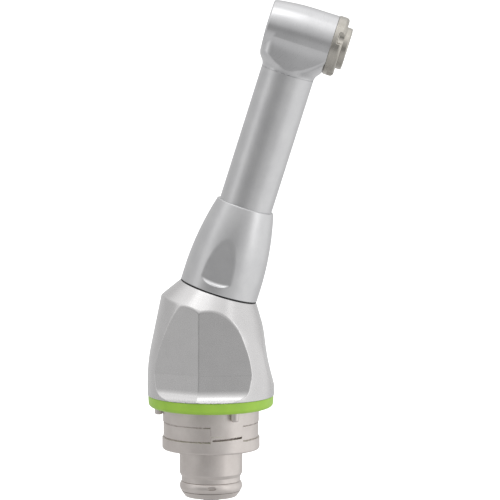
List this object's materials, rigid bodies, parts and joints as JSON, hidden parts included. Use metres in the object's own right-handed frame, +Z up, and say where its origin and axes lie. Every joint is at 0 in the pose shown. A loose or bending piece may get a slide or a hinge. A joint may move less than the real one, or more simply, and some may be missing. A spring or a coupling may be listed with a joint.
{
  "type": "contra angle handpiece",
  "caption": "Bent dental handpiece attachment with a push-button head, slim neck, faceted grip body, green ratio ring and a stub coupling.",
  "frame": {"origin": "on the coupling axis at the lower face of the coupling drum, the shoulder that the spigot stands on", "axes": "+Z up the coupling axis from the spigot towards the grip body; the neck leans 17.5 degrees from +Z towards +X; the bur side of the head faces -X"},
  "size_m": [0.0343, 0.0212, 0.0864],
  "materials": {
    "nickel": "warm satin nickel",
    "button_nickel": "polished nickel",
    "grip_steel": "satin with polished facets",
    "satin_steel": "matte satin",
    "head_chrome": "bright satin chrome",
    "green_mark": "satin green enamel",
    "black_rubber": "matte",
    "seal_plastic": "matte",
    "cage_plastic": "matte phenolic",
    "brass": "turned",
    "tool_steel": "ground",
    "gear_steel": "ground, oiled",
    "bearing_steel": "polished"
  },
  "bodies": {
    "housing": {"spigot": "nickel", "snap_ring": "nickel", "coupling_drum": "nickel", "index_pegs": "nickel", "ratio_ring": "green_mark", "rear_body": "grip_steel", "bend_o_ring": "black_rubber", "middle_sleeve": "satin_steel", "neck_tube": "satin_steel", "head_housing": "head_chrome", "front_seal": "seal_plastic", "back_cap": "nickel", "button_retainer": "nickel", "button_spring": "tool_steel", "ring_gear": "gear_steel", "bearing_block": "brass", "input_outer_races": "bearing_steel", "carrier_outer_races": "bearing_steel", "neck_outer_races": "bearing_steel", "spindle_outer_races": "bearing_steel"},
    "drive_shaft": {"drive_shaft": "tool_steel", "sun_gear": "gear_steel", "input_inner_races": "bearing_steel"},
    "carrier": {"carrier": "tool_steel", "carrier_cover": "tool_steel", "planet_pins": "tool_steel", "rear_bevel_gear": "gear_steel", "carrier_inner_races": "bearing_steel", "carrier_spacer": "tool_steel"},
    "planet_1": {"planet_gear_1": "gear_steel"},
    "planet_2": {"planet_gear_2": "gear_steel"},
    "planet_3": {"planet_gear_3": "gear_steel"},
    "neck_shaft": {"neck_shaft": "tool_steel", "neck_bevel_gear": "gear_steel", "head_drive_gear": "gear_steel", "neck_inner_races": "bearing_steel"},
    "spindle": {"spindle": "tool_steel", "spindle_gear": "gear_steel", "drive_key": "tool_steel", "spindle_inner_races": "bearing_steel"},
    "release_plunger": {"release_plunger": "tool_steel"},
    "push_button": {"push_button": "button_nickel"},
    "input_cage": {"input_balls": "bearing_steel", "input_cages": "cage_plastic"},
    "carrier_cage": {"carrier_balls": "bearing_steel", "carrier_cages": "cage_plastic"},
    "neck_cage": {"neck_balls": "bearing_steel", "neck_cages": "cage_plastic"},
    "spindle_cage": {"spindle_balls": "bearing_steel", "spindle_cages": "cage_plastic"}
  },
  "joints": [
    {"name": "drive_spin", "type": "hinge", "parent": "housing", "child": "drive_shaft", "pos_m": [0, 0, 0], "axis": [0, 0, 1], "continuous": true},
    {"name": "carrier_spin", "type": "hinge", "parent": "housing", "child": "carrier", "pos_m": [0, 0, 0.014], "axis": [0, 0, 1], "continuous": true},
    {"name": "planet_1_spin", "type": "hinge", "parent": "carrier", "child": "planet_1", "pos_m": [0.0042, 0, 0.0115], "axis": [0, 0, 1], "continuous": true},
    {"name": "planet_2_spin", "type": "hinge", "parent": "carrier", "child": "planet_2", "pos_m": [-0.0021, 0.00364, 0.0115], "axis": [0, 0, 1], "continuous": true},
    {"name": "planet_3_spin", "type": "hinge", "parent": "carrier", "child": "planet_3", "pos_m": [-0.0021, -0.00364, 0.0115], "axis": [0, 0, 1], "continuous": true},
    {"name": "neck_spin", "type": "hinge", "parent": "housing", "child": "neck_shaft", "pos_m": [0, 0, 0.0224], "axis": [0.3007, 0, 0.9537], "continuous": true},
    {"name": "spindle_spin", "type": "hinge", "parent": "housing", "child": "spindle", "pos_m": [0.01482, 0, 0.06942], "axis": [0.9537, 0, -0.3007], "continuous": true},
    {"name": "input_cage_spin", "type": "hinge", "parent": "housing", "child": "input_cage", "pos_m": [0, 0, 0], "axis": [0, 0, 1], "continuous": true},
    {"name": "carrier_cage_spin", "type": "hinge", "parent": "housing", "child": "carrier_cage", "pos_m": [0, 0, 0.014], "axis": [0, 0, 1], "continuous": true},
    {"name": "neck_cage_spin", "type": "hinge", "parent": "housing", "child": "neck_cage", "pos_m": [0, 0, 0.0224], "axis": [0.3007, 0, 0.9537], "continuous": true},
    {"name": "spindle_cage_spin", "type": "hinge", "parent": "housing", "child": "spindle_cage", "pos_m": [0.01482, 0, 0.06942], "axis": [0.9537, 0, -0.3007], "continuous": true},
    {"name": "button_press", "type": "slide", "parent": "housing", "child": "push_button", "axis": [-0.9537, 0, 0.3007], "range_m": [0, 0.0005], "stiffness_N_per_m": 6000, "springref_m": -0.0006, "deforming": ["button_spring"]},
    {"name": "release_slide", "type": "slide", "parent": "spindle", "child": "release_plunger", "axis": [-0.9537, 0, 0.3007], "range_m": [0, 0.0004]}
  ],
  "couplings": [
    {"joint": "carrier_spin", "follows": "drive_spin", "ratio": 0.25},
    {"joint": "planet_1_spin", "follows": "drive_spin", "ratio": -0.75},
    {"joint": "planet_2_spin", "follows": "drive_spin", "ratio": -0.75},
    {"joint": "planet_3_spin", "follows": "drive_spin", "ratio": -0.75},
    {"joint": "neck_spin", "follows": "drive_spin", "ratio": 0.25},
    {"joint": "spindle_spin", "follows": "drive_spin", "ratio": 0.25},
    {"joint": "input_cage_spin", "follows": "drive_spin", "ratio": 0.41453},
    {"joint": "carrier_cage_spin", "follows": "drive_spin", "ratio": 0.10363},
    {"joint": "neck_cage_spin", "follows": "drive_spin", "ratio": 0.10363},
    {"joint": "spindle_cage_spin", "follows": "drive_spin", "ratio": 0.10363},
    {"joint": "release_slide", "follows": "button_press", "ratio": 0.8}
  ]
}
